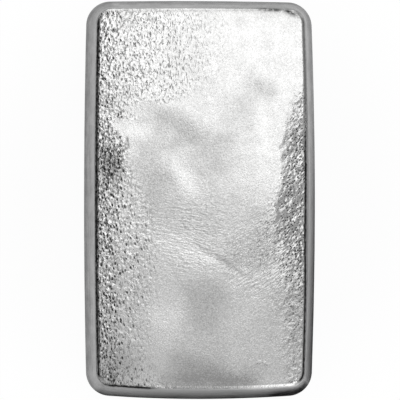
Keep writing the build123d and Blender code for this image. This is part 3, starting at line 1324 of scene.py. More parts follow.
@dataclass(frozen=True)
class CastSkin:
    """The relief of the casting as a geometry tree, with sizes in millimetres and leans in degrees."""

    pebble_width: float = 0.64
    pebble_length: float = 1.1
    pebble_depth: float = 0.042
    pit_depth: float = 0.035
    left_lean: float = -10.0
    right_lean: float = 38.0
    fine_size: float = 0.6
    fine_depth: float = 0.003
    ripple_pitch: float = 0.6
    ripple_depth: float = 0.0125
    ripple_lean: float = -10.0
    fan_lean: float = 36.0
    edge_size: float = 0.9
    edge_depth: float = 0.13
    wall_depth: float = 0.02
    pour_sink: float = 0.18
    room: float = 0.2
    seed: float = 7.0

    def sizes(self) -> dict:
        """Lists the tree's named sizes, with the leans in radians.

        Returns:
            Each input's value by its name.
        """
        result = {}
        for name, size in asdict(self).items():
            label = name.replace("_", " ").title()
            result[label] = math.radians(size) if name.endswith("lean") else size
        return result

    def tree(self) -> bpy.types.NodeTree:
        """Builds the tree that works the relief into the skin.

        Returns:
            The tree, with one input for each size and finish.
        """
        inputs = {"Geometry": Kind.SHAPE}
        inputs.update(dict.fromkeys(self.sizes(), Kind.NUMBER))
        inputs.update(dict.fromkeys(("Skin Finish", "Pour Finish"), Kind.FINISH))
        write = GroupWriter("cast skin", "GeometryNodeTree", inputs, {"Geometry": Kind.SHAPE})
        heights, pit = self.pebbles(write)
        sunk = write.product(pit, write.given["Pit Depth"], -1.0)
        height = write.total(*heights, sunk, write.mark(Mark.SWELL), self.ripples(write), self.fine(write))
        height = write.total(height, self.edges(write), self.walls(write), self.pour(write))
        height = write.math("MINIMUM", height, write.given["Room"])
        normal = write.add("GeometryNodeInputNormal").outputs[0]
        offset = write.scaled(normal, write.math("MULTIPLY", height, MM))
        kept = write.add("GeometryNodeStoreNamedAttribute", data_type="FLOAT", domain="POINT")
        below = write.math("GREATER_THAN", write.mark(Mark.UNDER), 0.5)
        steps = (
            (write.add("GeometryNodeSetPosition"), {"Offset": offset}),
            (kept, {"Name": Mark.PIT.value, "Value": pit}),
            (write.add("GeometryNodeSetShadeSmooth"), {}),
            (write.add("GeometryNodeRealizeInstances"), {}),
            (write.add("GeometryNodeSetMaterial"), {"Material": write.given["Skin Finish"]}),
            (
                write.add("GeometryNodeSetMaterial"),
                {"Selection": below, "Material": write.given["Pour Finish"]},
            ),
        )
        shape = write.given["Geometry"]
        for node, values in steps:
            shape = write.fill(node, {"Geometry": shape, **values}).outputs[0]
        write.feed(write.result[0], shape)
        return write.tree

    def pebbles(self, write: GroupWriter) -> tuple:
        """Makes the pebbles and pits of the three zones, ragged in strength.

        Args:
            write: Writer of the relief's tree.

        Returns:
            The zones' heights in millimetres, and one value that is above 0 in a pit.
        """
        given = write.given
        group = PebbleField().group()
        uneven = write.noise(write.place(), scale=0.55, detail=2.0)
        ragged = write.step(uneven, low=0.3, high=0.6, start=0.55, end=1.15)
        heights = []
        holes = []
        for zone in ZONES:
            values = {
                "Place": write.scaled(write.place(), zone.fineness),
                "Lean": given[zone.lean],
                "Width": given["Pebble Width"],
                "Length": given["Pebble Length"],
                "Seed": write.math("ADD", given["Seed"], zone.seed_shift),
            }
            pattern = write.group(group, values)
            strength = write.product(write.mark(zone.mark), ragged, zone.strength)
            heights.append(write.product(pattern["Relief"], strength, given["Pebble Depth"]))
            holes.append(write.product(pattern["Pit"], strength))
        return heights, write.most(*holes)

    @staticmethod
    def ripples(write: GroupWriter) -> Socket:
        """Makes the fine ripples across the middle of the face and out to its right edge.

        Args:
            write: Writer of the relief's tree.

        Returns:
            Their height in millimetres.
        """
        stretch = (0.3, 1.0, 1.0)
        gain = 4.0
        scale = write.math("DIVIDE", 1.0, write.given["Ripple Pitch"])
        waves = []
        for mark, lean in ((Mark.RIPPLE, "Ripple Lean"), (Mark.FAN, "Fan Lean")):
            turned = write.turned(write.place(), write.product(write.given[lean], -1.0))
            wave = write.wave(write.vector("MULTIPLY", turned, stretch), scale, detail=1.0)
            waves.append(write.product(wave, write.mark(mark)))
        return write.product(write.total(*waves), write.given["Ripple Depth"], gain)

    @staticmethod
    def fine(write: GroupWriter) -> Socket:
        """Makes the fine unevenness of the smooth parts of the face.

        Args:
            write: Writer of the relief's tree.

        Returns:
            Its height in millimetres.
        """
        gain = 4.0
        scale = write.math("DIVIDE", 1.0, write.given["Fine Size"])
        level = write.tipped(low=10.0, high=60.0, start=1.0, end=0.0)
        wave = write.wave(write.place(), scale, detail=2.0)
        return write.product(wave, level, write.given["Fine Depth"], gain)

    @staticmethod
    def edges(write: GroupWriter) -> Socket:
        """Makes the arris ragged, most of all beside the pebbles, and only ever draws it in.

        Args:
            write: Writer of the relief's tree.

        Returns:
            Its height in millimetres.
        """
        least = 0.08
        scale = write.math("DIVIDE", 1.0, write.given["Edge Size"])
        wave = write.step(write.noise(write.place(), scale, detail=2.0, rough=0.6), low=0.3, high=0.7)
        band = (write.tipped(low=2.0, high=24.0), write.tipped(low=48.0, high=70.0, start=1.0, end=0.0))
        strength = write.math("MINIMUM", write.total(write.pebbled(), least), 1.0)
        return write.product(wave, *band, strength, write.given["Edge Depth"], -1.0)

    @staticmethod
    def walls(write: GroupWriter) -> Socket:
        """Makes the slight unevenness of the walls, which only ever draws them in.

        Args:
            write: Writer of the relief's tree.

        Returns:
            Its height in millimetres.
        """
        crest = 0.85
        gain = 2.0
        drawn = write.math("SUBTRACT", write.noise(write.place(), scale=0.16, detail=2.0), crest)
        band = (write.tipped(low=45.0, high=70.0), write.tipped(low=140.0, high=175.0, start=1.0, end=0.0))
        return write.product(write.math("MINIMUM", drawn, 0.0), *band, write.given["Wall Depth"], gain)

    @staticmethod
    def pour(write: GroupWriter) -> Socket:
        """Makes the shallow sink and the cooling rings of the pour face, which only ever go inwards.

        Args:
            write: Writer of the relief's tree.

        Returns:
            Their height in millimetres.
        """
        half_size = (1.0 / 22.0, 1.0 / 39.0, 0.0)
        ring_count = 42.0
        ring_depth = 0.06
        sink_depth = 0.9
        reach = write.length(write.vector("MULTIPLY", write.place(), half_size))
        sink = write.step(reach, low=0.25, high=0.98, start=1.0, end=0.0)
        stir = write.noise(write.place(), scale=0.09, detail=2.0)
        rings = write.math("SINE", write.product(write.total(reach, stir), ring_count))
        ring = write.product(write.total(rings, 1.0), ring_depth)
        depth = write.product(sink, write.total(ring, sink_depth))
        return write.product(depth, write.mark(Mark.UNDER), write.given["Pour Sink"], -1.0)

    def work_into(self, piece: bpy.types.Object, skin: bpy.types.Material, pour: bpy.types.Material) -> None:
        """Works the relief into a piece and leaves it a plain mesh.

        Args:
            piece: Plain skin with its marks.
            skin: Finish of the face and the walls.
            pour: Finish of the pour face.
        """
        tree = self.tree()
        modifier = piece.modifiers.new("cast skin", "NODES")
        modifier.node_group = tree
        values = {**self.sizes(), "Skin Finish": skin, "Pour Finish": pour}
        for item in tree.interface.items_tree:
            if item.in_out == "INPUT" and item.name in values:
                modifier[item.identifier] = values[item.name]
        graph = bpy.context.evaluated_depsgraph_get()
        shown = piece.evaluated_get(graph)
        worked = bpy.data.meshes.new_from_object(shown, preserve_all_data_layers=True, depsgraph=graph)
        plain = piece.data
        piece.modifiers.remove(modifier)
        piece.data = worked
        bpy.data.meshes.remove(plain)
        worked.name = piece.name


def new_metal(name: str) -> tuple:
    """Makes a plain metal.

    Args:
        name: Name of the material.

    Returns:
        The material, its writer and the inputs of its shader.
    """
    material = bpy.data.materials.new(name)
    material.use_nodes = True
    shader = material.node_tree.nodes["Principled BSDF"].inputs
    shader["Metallic"].default_value = 1.0
    return material, NodeWriter(material.node_tree), shader


@dataclass(frozen=True)
class PitLayer:
    """One layer of small pits (millimetres, degrees).

    The shares say how many cells hold a pit where the pebbling starts and where it is full.
    """

    lean: float
    size: tuple
    shares: tuple
    full: float


@dataclass(frozen=True)
class SkinFinish:
    """Bright cast face and satin mould skin, one finish that changes at the arris (millimetres, degrees)."""

    # Pale grey of the painted highlights.
    bright: tuple = (0.85, 0.85, 0.845, 1.0)
    # Clean and dull metal, the ends of the face's tone, which also carries painted light and painted shade.
    clean: tuple = (0.97, 0.97, 0.965, 1.0)
    dull: tuple = (0.486, 0.486, 0.481, 1.0)
    # Range and spread of the face's tone, from painted light to painted shade.
    film_low: float = -0.45
    film_high: float = 1.35
    film_mottle: float = 0.12
    film_grain: float = 2.6
    # Dark of the pits, specks and creases: a stain with painted shade in these hollows.
    stain: tuple = (0.055, 0.055, 0.055, 1.0)
    stain_share: float = 0.6
    # Black of the painted shade along the arris, the creases and the corners.
    black: tuple = (0.03, 0.03, 0.03, 1.0)
    # Near-black of the painted dark reflection along the arris.
    tarnish: tuple = (0.035, 0.035, 0.035, 1.0)
    # Satin of the walls, darker down the wall towards the floor: painted shade.
    satin_high: tuple = (0.44, 0.44, 0.44, 1.0)
    satin_low: tuple = (0.2, 0.2, 0.202, 1.0)
    satin_drop: tuple = (1.2, 8.6)
    satin_mottle: float = 0.8
    satin_lines: float = 6.0
    satin_grain: float = 0.3
    line_stretch: tuple = (0.12, 0.12, 1.6)
    line_depth: float = 0.05
    bright_rough: float = 0.2
    pebble_rough: float = 0.1
    arris_rough: float = 0.15
    satin_rough: float = 0.5
    smear_rough: float = 0.28
    face_uneven: float = 0.05
    satin_uneven: float = 0.12
    smear_share: float = 0.9
    change: float = math.radians(44.0)
    change_width: float = 0.07
    change_ragged: float = 0.25
    coarse_pits: PitLayer = PitLayer(-11.0, (0.42, 0.85), (0.08, 0.46), 1.2)
    fine_pits: PitLayer = PitLayer(-11.0, (0.26, 0.5), (0.15, 0.35), 1.0)
    right_pits: PitLayer = PitLayer(38.0, (0.32, 0.6), (0.2, 0.55), 1.0)
    small_pits: PitLayer = PitLayer(38.0, (0.22, 0.42), (0.15, 0.35), 1.0)
    pit_start: float = 0.1
    head_coarse: float = 0.7
    head_fine: float = 0.5
    head_share: float = 0.4
    left_fine: float = 0.7
    left_crease: float = 0.7
    coarse_gain: float = 1.4
    right_gain: float = 1.3
    lone_size: tuple = (0.7, 0.7)
    lone_share: float = 0.06
    lone_strength: float = 0.5
    crease_size: tuple = (0.5, 1.3)
    crease_lean: float = -6.0
    crease_strength: float = 0.8
    speck_depth: float = 0.025
    grain_size: float = 0.28
    grain_depth: tuple = (0.023, 0.02)
    knob_size: float = 0.62
    knob_depth: float = 0.03
    ripple_lean: float = -10.0
    fan_lean: float = 36.0
    fibre_width: float = 0.4
    fibre_stretch: tuple = (0.3, 1.0, 1.0)
    fibre_depth: float = 0.105

    def material(self, grain: bpy.types.NodeTree) -> bpy.types.Material:
        """Builds the finish.

        Args:
            grain: Shared group of the silver's grain.

        Returns:
            The new material.
        """
        material, write, shader = new_metal("cast silver skin")
        place = write.place()
        silver = write.group(grain, {"Place": place, "Size": self.grain_size})
        ragged = write.product(write.wave(place, scale=1.6, detail=2.0), self.change_ragged)
        edge = write.total(write.mark(Mark.TURN), ragged)
        satin = write.step(edge, self.change - self.change_width, self.change + self.change_width)
        patchy = write.noise(place, scale=1.3, detail=3.0, rough=0.6)
        broken = write.step(patchy, low=0.3, high=0.6, start=0.35, end=1.0)
        # Painted shade and painted highlights: black where the mark is above zero, pale grey where it is
        # below.
        painted_marks = write.product(write.mark(Mark.SMUDGE), broken)
        dark = write.held(painted_marks, self.smear_share)
        light = write.held(painted_marks, -self.smear_share)
        speck = self.specks(write)
        colour = write.mix_colour(satin, self.face(write, silver, speck), self.wall(write, silver))
        colour = write.mix_colour(light, write.mix_colour(dark, colour, self.black), self.bright)
        write.feed(shader["Base Color"], colour)
        uneven = write.centred(silver["Mottle"])
        coarse = write.pebbled()
        pebbled = write.math("MINIMUM", coarse, 1.0)
        face_rough = write.mix(write.tipped(low=12.0, high=30.0), self.bright_rough, self.arris_rough)
        face_rough = write.mix(pebbled, face_rough, self.pebble_rough)
        face_rough = write.total(face_rough, write.product(uneven, self.face_uneven))
        satin_rough = write.total(self.satin_rough, write.product(uneven, self.satin_uneven))
        rough = write.mix(satin, face_rough, satin_rough)
        write.feed(shader["Roughness"], write.mix(dark, rough, self.smear_rough))
        depth = write.step(coarse, 0.0, 1.0, *self.grain_depth)
        grained = write.product(write.centred(silver["Grain"]), depth)
        knobs = write.product(write.wave(place, 1.0 / self.knob_size, detail=0.0), pebbled, self.knob_depth)
        sunk = write.math("SUBTRACT", self.fibres(write), write.product(speck, self.speck_depth))
        lined = write.product(self.lines(write), satin, self.line_depth)
        height = write.total(grained, write.total(sunk, knobs, lined))
        write.feed(shader["Normal"], write.bump(height, strength=1.0, distance=MM))
        return material

    def face(self, write: NodeWriter, silver: bpy.types.NodeOutputs, speck: Socket) -> Socket:
        """Makes the face's colour: dull and clean metal that also carries painted shade and painted light, a
        painted dark reflection along the arris, and pits darkened by stain and painted shade.

        Args:
            write: Writer of the material.
            silver: Outputs of the silver's grain.
            speck: Socket of the specks.

        Returns:
            The colour's socket.
        """
        # The face's tone: dull and clean metal that also carries painted shade and painted light.
        slow = write.product(write.centred(silver["Mottle"]), self.film_mottle)
        quick = write.product(write.centred(silver["Grain"]), self.film_grain)
        film = write.total(write.mark(Mark.FILM), slow, quick)
        above = write.math("SUBTRACT", film, self.film_low)
        share = write.math("DIVIDE", above, self.film_high - self.film_low, clamp=True)
        metal = write.mix_colour(share, self.clean, self.dull)
        # Painted dark reflection along the left and right arris and round the foot-right corner, broken into
        # patches.
        patchy = write.noise(write.place(), scale=0.9, detail=2.0)
        patchy_shade = write.step(patchy, low=0.25, high=0.55, start=0.8, end=1.0)
        metal = write.mix_colour(write.product(write.mark(Mark.TARNISH), patchy_shade), metal, self.tarnish)
        # Pits, specks and creases darkened towards the stain: stain with painted shade in the hollows.
        pitted = write.most(write.product(write.mark(Mark.PIT), self.stain_share), speck)
        return write.mix_colour(write.math("MINIMUM", pitted, 1.0), metal, self.stain)

    def wall(self, write: NodeWriter, silver: bpy.types.NodeOutputs) -> Socket:
        """Makes the walls' colour: satin silver that darkens down the wall with painted shade, faintly lined.

        Args:
            write: Writer of the material.
            silver: Outputs of the silver's grain.

        Returns:
            The colour's socket.
        """
        mottled = write.product(silver["Mottle"], self.satin_mottle)
        lined = write.product(write.centred(self.lines(write)), self.satin_lines)
        drop = write.total(write.mark(Mark.DROP), mottled, lined)
        quick = write.product(write.centred(silver["Grain"]), self.film_grain)
        # Darker down the wall towards the floor: painted shade.
        shade = write.total(write.step(drop, *self.satin_drop), write.product(quick, self.satin_grain))
        return write.mix_colour(write.held(shade, 1.0), self.satin_high, self.satin_low)

    def lines(self, write: NodeWriter) -> Socket:
        """Makes the faint lines that the mould left along the walls, as a value from 0 to 1."""
        drawn = write.vector("MULTIPLY", write.place(), self.line_stretch)
        return write.noise(drawn, scale=1.0, detail=2.0, rough=0.6)

    def fibres(self, write: NodeWriter) -> Socket:
        """Makes the finest ripples, drawn out along the metal's flow.

        Args:
            write: Writer of the material.

        Returns:
            Socket of their height in millimetres.
        """
        heights = []
        for mark, lean in ((Mark.RIPPLE, self.ripple_lean), (Mark.FAN, self.fan_lean)):
            turned = write.turned(write.place(), -math.radians(lean))
            drawn = write.vector("MULTIPLY", turned, self.fibre_stretch)
            wave = write.wave(drawn, 1.0 / self.fibre_width, detail=2.0, rough=0.6)
            heights.append(write.product(wave, write.mark(mark), self.fibre_depth))
        return write.total(*heights)

    @staticmethod
    def leaning(write: NodeWriter, lean: float, size: tuple) -> dict:
        """Lists the inputs that a group of pits or creases takes from its lean and its size."""
        return {"Place": write.place(), "Lean": math.radians(lean), "Width": size[0], "Length": size[1]}

    def specks(self, write: NodeWriter) -> Socket:
        """Makes the small sharp pits between the pebbles, leaning with them, and the creases.

        Args:
            write: Writer of the material.

        Returns:
            Socket that is 1 in a pit's middle and 0 outside.
        """
        left = write.mark(Mark.LEFT)
        head = write.mark(Mark.HEAD)
        right = write.mark(Mark.RIGHT)
        coarse = write.held(write.most(left, write.product(head, self.head_coarse)), self.coarse_gain)
        fine = write.most(write.product(left, self.left_fine), write.product(head, self.head_fine))
        most = write.most(left, write.product(head, self.head_share))
        zones = (
            (self.coarse_pits, most, coarse),
            (self.fine_pits, most, fine),
            (self.right_pits, right, write.held(right, self.right_gain)),
            (self.small_pits, right, right),
        )
        layers = []
        for pits, zone, strength in zones:
            share = write.step(zone, self.pit_start, pits.full, *pits.shares)
            layers.append((pits.lean, pits.size, share, strength))
        level = write.tipped(low=0.0, high=20.0, start=1.0, end=0.0)
        lone = write.product(level, self.lone_strength)
        layers.append((0.0, self.lone_size, self.lone_share, lone))
        creases = write.group(cast_creases(), self.leaning(write, self.crease_lean, self.crease_size))
        creased = write.most(head, write.product(left, self.left_crease))
        deepest = write.product(creases["Crease"], creased, self.crease_strength)
        group = cast_specks()
        for lean, size, share, strength in layers:
            values = {**self.leaning(write, lean, size), "Share": share}
            speck = write.group(group, values)["Speck"]
            deepest = write.most(deepest, write.product(speck, strength))
        return deepest


def cast_specks() -> bpy.types.NodeTree:
    """Builds the small leaning pits of a pebbled skin.

    Returns:
        The group, with Speck, which is 1 in a pit's middle.
    """
    inputs = {"Place": Kind.PLACE, **dict.fromkeys(("Lean", "Width", "Length", "Share"), Kind.NUMBER)}
    write = GroupWriter("cast specks", "ShaderNodeTree", inputs, {"Speck": Kind.NUMBER})
    choice_width = 0.2
    spots = write.cells(write.stirred(write.cell_place(), scale=0.8, detail=1.0, reach=0.5), scale=0.72)
    chosen = write.fill(write.add("ShaderNodeSeparateColor"), {0: spots["Color"]}).outputs[0]
    bar = write.math("SUBTRACT", 1.0, write.given["Share"])
    some = write.step(chosen, bar, write.total(bar, choice_width))
    hole = write.step(spots["Distance"], low=0.2, high=0.36, start=1.0, end=0.0)
    write.feed(write.result["Speck"], write.product(hole, some))
    return write.tree


def cast_creases() -> bpy.types.NodeTree:
    """Builds the thin broken creases of a pebbled skin.

    Returns:
        The group, with Crease, which is 1 in a crease's middle.
    """
    inputs = {"Place": Kind.PLACE, **dict.fromkeys(("Lean", "Width", "Length"), Kind.NUMBER)}
    write = GroupWriter("cast creases", "ShaderNodeTree", inputs, {"Crease": Kind.NUMBER})
    gap_shift = (4.3, 8.1, 2.0)
    cell = write.cell_place()
    bent = write.stirred(cell, scale=0.9, detail=1.0, reach=0.8)
    away = write.math("ABSOLUTE", write.wave(bent, scale=1.0, detail=1.0))
    line = write.step(away, low=0.01, high=0.065, start=1.0, end=0.0)
    gaps = write.noise(write.vector("ADD", cell, gap_shift), scale=1.1, detail=1.0)
    write.feed(write.result["Crease"], write.product(line, write.step(gaps, low=0.48, high=0.62)))
    return write.tree


@dataclass(frozen=True)
class PourFinish:
    """Open-poured underside: frosted silver with faint crystal patches."""

    frost: tuple = (0.70, 0.70, 0.695, 1.0)
    crystal: tuple = (0.82, 0.82, 0.815, 1.0)
    rough: float = 0.38
    uneven: float = 0.2
    grain_size: float = 0.5
    grain_strength: float = 0.6
    grain_depth: float = 0.03 * MM

    def material(self, grain: bpy.types.NodeTree) -> bpy.types.Material:
        """Builds the finish.

        Args:
            grain: Shared group of the silver's grain.

        Returns:
            The new material.
        """
        material, write, shader = new_metal("pour face silver")
        silver = write.group(grain, {"Place": write.place(), "Size": self.grain_size})
        write.feed(shader["Base Color"], write.mix_colour(silver["Mottle"], self.frost, self.crystal))
        uneven = write.product(write.centred(silver["Mottle"]), self.uneven)
        write.feed(shader["Roughness"], write.total(self.rough, uneven))
        write.feed(shader["Normal"], write.bump(silver["Grain"], self.grain_strength, self.grain_depth))
        return material


def silver_grain() -> bpy.types.NodeTree:
    """Builds the grain that both finishes share.

    Returns:
        The group, with Grain for a bump's height and Mottle for slow changes.
    """
    inputs = {"Place": Kind.PLACE, "Size": Kind.NUMBER}
    outputs = dict.fromkeys(("Grain", "Mottle"), Kind.NUMBER)
    write = GroupWriter("silver grain", "ShaderNodeTree", inputs, outputs)
    place = write.given["Place"]
    scale = write.math("DIVIDE", 1.0, write.given["Size"])
    slow = write.noise(place, scale=0.35, detail=3.0, rough=0.6)
    write.feed(write.result["Grain"], write.noise(place, scale, detail=2.0, rough=0.6))
    write.feed(write.result["Mottle"], write.step(slow, low=0.3, high=0.7))
    return write.tree


@dataclass(frozen=True)
class SoftBox:
    """One soft box: where it stands, what it faces, its size, and the level that a mirror of it shows."""

    name: str
    place: tuple
    target: tuple
    size: tuple
    level: float


@dataclass
class Studio:
    """Pale floor with a low sweep, soft boxes above, dark flags on the floor and a dark card at the left.

    The flags and the card are only mirrored by the metal. The outlines of the flags are in millimetres, and
    the rest is in metres.
    """

    floor_radius: float = 6.0
    flat_share: float = 0.8
    sweep_share: float = 0.2
    sweep_rise: float = 0.75
    sweep_steps: int = 8
    floor_corners: int = 64
    floor_tone: float = 0.9
    shade_start: float = 0.03
    shade_end: float = 0.06
    shade_share: float = 0.955
    world_level: float = 0.38
    overhead_bearing: float = 64.0
    overhead_edge: float = 0.0171
    overhead_depth: float = 0.4
    overhead_right: float = 0.0692
    overhead_left: float = 0.0508
    overhead_height: float = 0.3
    overhead_level: float = 0.88
    foot_depth: float = 0.14
    foot_level: float = 0.16
    head_box: SoftBox = SoftBox("head", (0.0, 0.5, 0.22), (0.0, 0.0, 0.0), (0.5, 0.35), 0.7)
    foot_box: SoftBox = SoftBox("foot right", (0.097, -0.241, 0.36), (0.0, 0.0, 0.36), (0.13, 0.6), 0.9)
    upper_box: SoftBox = SoftBox("head upper", (0.0, 0.3, 0.4), (0.0, 0.0, 0.0), (0.3, 0.22), 0.5)
    flag_level: float = 0.2 * MM
    flag_tone: float = 0.012
    right_edge: float = 23.4
    right_bow: float = 0.0005
    right_spread: float = 0.07
    right_end: float = 34.0
    right_rows: tuple = (-38, 35, 4)
    foot_edge: float = -40.6
    foot_bow: float = 0.002
    foot_reach: float = -4.5
    foot_spread: float = 0.05
    foot_rows: tuple = (-22, 23, 4)
    corner_middle: tuple = (17.9, -34.9)
    corner_radius: float = 5.8
    corner_reach: float = 5.0
    corner_rays: tuple = (-98, -29, 6)
    card_place: tuple = (-0.1705, 0.0, 0.381)
    card_target: tuple = (0.0895, 0.0, 0.151)
    card_size: tuple = (0.19, 0.29)
    card_tone: float = 0.03
    dark_rough: float = 0.9

    def build(self) -> None:
        """Builds the floor, the dim surround, the lamps, the flags and the card."""
        self.floor()
        self.surround()
        self.overhead()
        self.standing(self.head_box)
        self.flags()
        self.card("left card", self.card_place, self.card_size, self.card_target)
        self.standing(self.foot_box)
        self.standing(self.upper_box)

    def floor(self) -> None:
        """Builds the floor and its low sweep as one round dish."""
        flat = self.floor_radius * self.flat_share
        bend = self.floor_radius * self.sweep_share
        rings = [(flat, 0.0)]
        for angle in np.linspace(0.0, math.pi / 2, self.sweep_steps + 1)[1:]:
            rings.append((flat + bend * math.sin(angle), bend * (1 - math.cos(angle)) * self.sweep_rise))
        around = self.floor_corners
        points = [(0.0, 0.0, 0.0)]
        for reach, level in rings:
            for index in range(around):
                angle = 2 * math.pi * index / around
                points.append((reach * math.cos(angle), reach * math.sin(angle), level))
        faces = []
        for index in range(around):
            after = (index + 1) % around
            faces.append((0, 1 + index, 1 + after))
            for ring in range(len(rings) - 1):
                low = 1 + ring * around
                high = low + around
                faces.append((low + index, high + index, high + after, low + after))
        floor = new_piece("floor", points, faces)
        floor.data.materials.append(self.floor_material())

    def floor_material(self) -> bpy.types.Material:
        """Builds the floor's white, which keeps the shadow near the bar.

        Returns:
            The new material.
        """
        material = bpy.data.materials.new("pale floor")
        material.use_nodes = True
        nodes = material.node_tree.nodes
        nodes.remove(nodes["Principled BSDF"])
        write = NodeWriter(material.node_tree)
        tone = self.floor_tone
        matt = write.fill(write.add("ShaderNodeBsdfDiffuse"), {"Color": (tone, tone, tone, 1.0)})
        white = {"Color": (1.0, 1.0, 1.0, 1.0), "Strength": 1.0}
        glow = write.fill(write.add("ShaderNodeEmission"), white)
        rays = write.add("ShaderNodeLightPath").outputs
        seen = write.most(rays["Is Camera Ray"], rays["Is Glossy Ray"], rays["Is Transmission Ray"])
        reach = write.length(write.add("ShaderNodeTexCoord").outputs["Object"])
        share = write.step(reach, self.shade_start, self.shade_end, self.shade_share, end=1.0)
        both = write.add("ShaderNodeMixShader")
        write.fill(both, {0: write.product(seen, share), 1: matt.outputs[0], 2: glow.outputs[0]})
        write.feed(nodes["Material Output"].inputs["Surface"], both.outputs[0])
        return material

    def surround(self) -> None:
        """Sets the dim plain surround."""
        world = bpy.data.worlds.new("studio")
        world.use_nodes = True
        level = self.world_level
        background = world.node_tree.nodes["Background"].inputs
        background["Color"].default_value = (level, level, level, 1.0)
        background["Strength"].default_value = 1.0
        bpy.context.scene.world = world

    @staticmethod
    def aimed(place: tuple, target: tuple) -> Matrix:
        """Places a thing at a point with its -Z towards a target."""
        away = Vector(place) - Vector(target)
        return Matrix.Translation(Vector(place)) @ away.to_track_quat("Z", "Y").to_matrix().to_4x4()

    def overhead(self) -> None:
        """Builds the large level soft box above the bar, and the dim one that goes on from its near edge."""
        aside = (self.overhead_left - self.overhead_right) / 2
        width = self.overhead_left + self.overhead_right
        turn = Matrix.Rotation(math.radians(self.overhead_bearing), 4, "Z")
        reach = self.overhead_edge + self.overhead_depth / 2
        matrix = turn @ Matrix.Translation((reach, aside, self.overhead_height))
        self.soft_box("overhead", matrix, (self.overhead_depth, width), self.overhead_level)
        near = self.overhead_edge - self.foot_depth / 2
        matrix = turn @ Matrix.Translation((near, aside, self.overhead_height))
        self.soft_box("overhead foot", matrix, (self.foot_depth, width), self.foot_level)

    def standing(self, box: SoftBox) -> None:
        """Builds one soft box that faces a point."""
        self.soft_box(box.name, self.aimed(box.place, box.target), box.size, box.level)

    @staticmethod
    def soft_box(name: str, matrix: Matrix, size: tuple, level: float) -> None:
        """Builds one soft box, with its brightness given as the level that a mirror would show.

        Args:
            name: Name of the lamp.
            matrix: Its place, with its front towards its own -Z.
            size: Its width and height.
            level: Brightness of its front.
        """
        data = bpy.data.lights.new(name, "AREA")
        data.shape = "RECTANGLE"
        data.size = size[0]
        data.size_y = size[1]
        data.energy = level * math.pi * size[0] * size[1]
        lamp = bpy.data.objects.new(name, data)
        lamp.matrix_world = matrix
        lamp.visible_camera = False
        bpy.context.collection.objects.link(lamp)

    def flags(self) -> None:
        """Lays the dark flags, which stand in for shade on the floor beside the bar for the walls to mirror:
        along the right wall, along the foot and round the corner between them.
        """
        right = []
        for y in range(*self.right_rows):
            edge = self.right_edge - self.right_bow * y**2
            right.append((edge, y, self.right_spread * (self.right_end - y), 0.0))
        foot = []
        for x in range(*self.foot_rows):
            edge = self.foot_edge + self.foot_bow * x**2
            foot.append((x, edge, 0.0, self.foot_reach - self.foot_spread * x))
        corner = []
        for angle in range(*self.corner_rays):
            out = np.array((math.cos(math.radians(angle)), math.sin(math.radians(angle))))
            edge = np.array(self.corner_middle) + self.corner_radius * out
            corner.append((*edge.tolist(), *(self.corner_reach * out).tolist()))
        self.flag("right flag", right)
        self.flag("foot flag", foot)
        self.flag("corner flag", corner)

    def flag(self, name: str, stations: list) -> None:
        """Lays one narrow dark flag on the floor beside the bar, for its wall to mirror.

        Args:
            name: Name of the flag.
            stations: Its near edge and the way out to its far edge, x, y, x and y in millimetres.
        """
        points = []
        for x, y, over, along in stations:
            points.append((x * MM, y * MM, self.flag_level))
            points.append(((x + over) * MM, (y + along) * MM, self.flag_level))
        faces = [(2 * n, 2 * n + 1, 2 * n + 3, 2 * n + 2) for n in range(len(stations) - 1)]
        self.dark_piece(name, points, faces, Matrix(), self.flag_tone)

    def card(self, name: str, place: tuple, size: tuple, target: tuple) -> None:
        """Builds one dark card.

        Args:
            name: Name of the card.
            place: Its middle.
            size: Its width and height.
            target: Point that it faces.
        """
        wide = size[0] / 2
        tall = size[1] / 2
        points = [(-wide, -tall, 0), (wide, -tall, 0), (wide, tall, 0), (-wide, tall, 0)]
        self.dark_piece(name, points, [(0, 1, 2, 3)], self.aimed(place, target), self.card_tone)

    def dark_piece(self, name: str, points: list, faces: list, matrix: Matrix, tone: float) -> None:
        """Makes a dark sheet of the studio, which the metal mirrors and the camera does not see.

        Args:
            name: Name of the sheet.
            points: Its points.
            faces: Its faces.
            matrix: Its place.
            tone: Its grey.
        """
        material = bpy.data.materials.new(name)
        material.use_nodes = True
        shader = material.node_tree.nodes["Principled BSDF"].inputs
        shader["Base Color"].default_value = (tone, tone, tone, 1.0)
        shader["Roughness"].default_value = self.dark_rough
        card = new_piece(name, points, faces)
        card.data.materials.append(material)
        card.matrix_world = matrix
        card.visible_camera = False
        card.visible_shadow = False
        card.visible_diffuse = False


@dataclass(frozen=True)
class Viewpoint:
    """Camera almost straight above the bar, far off, with a long lens."""

    reach: float = 1.1
    field: float = 82.33 * MM
    level: float = 1.4 * MM
    lean_left: float = 3.5
    lean_foot: float = 2.2
    middle: tuple = (0.08 * MM, -0.05 * MM)
    nearest: float = 0.05
    farthest: float = 50.0

    def build(self) -> bpy.types.Object:
        """Builds the camera and makes it the scene's own.

        Returns:
            The camera.
        """
        data = bpy.data.cameras.new("camera")
        data.sensor_fit = "HORIZONTAL"
        data.sensor_width = SENSOR
        data.lens = SENSOR * self.reach / self.field
        data.clip_start = self.nearest
        data.clip_end = self.farthest
        camera = bpy.data.objects.new("camera", data)
        back = Vector((-math.tan(math.radians(self.lean_left)), -math.tan(math.radians(self.lean_foot)), 1.0))
        back.normalize()
        right = Vector((0.0, 1.0, 0.0)).cross(back).normalized()
        up = back.cross(right)
        place = Vector((*self.middle, self.level)) + back * self.reach
        turn = Matrix((right, up, back)).transposed().to_4x4()
        camera.matrix_world = Matrix.Translation(place) @ turn
        bpy.context.collection.objects.link(camera)
        bpy.context.scene.camera = camera
        return camera


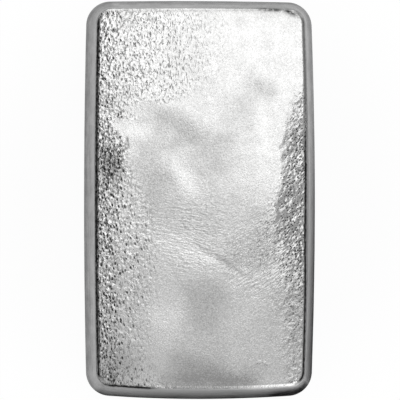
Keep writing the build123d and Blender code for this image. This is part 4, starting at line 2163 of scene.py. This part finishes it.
def main() -> None:
    """Builds the bar, its studio and its camera."""
    logging.basicConfig(level=logging.INFO, format="%(name)s: %(message)s")
    bpy.context.scene.view_settings.view_transform = "Standard"
    noise.seed_set(FLOW_SEED)
    low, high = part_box("silver_bar")
    skin = CastSkin()
    form = BarForm(length=high[1] - low[1], width=high[0] - low[0], height=high[2] - low[2] - skin.room * MM)
    piece = SilverBar(form, Relief()).build()
    grain = silver_grain()
    skin.work_into(piece, SkinFinish().material(grain), PourFinish().material(grain))
    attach(piece, "root")
    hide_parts("silver_bar")
    triangles = sum(len(face.vertices) - 2 for face in piece.data.polygons)
    log.info("%s: %d points, %d triangles", piece.name, len(piece.data.vertices), triangles)
    Studio().build()
    log.info("studio: floor, soft boxes, flags and card")
    Viewpoint().build()
    log.info("camera")


if __name__ == "__main__":
    main()
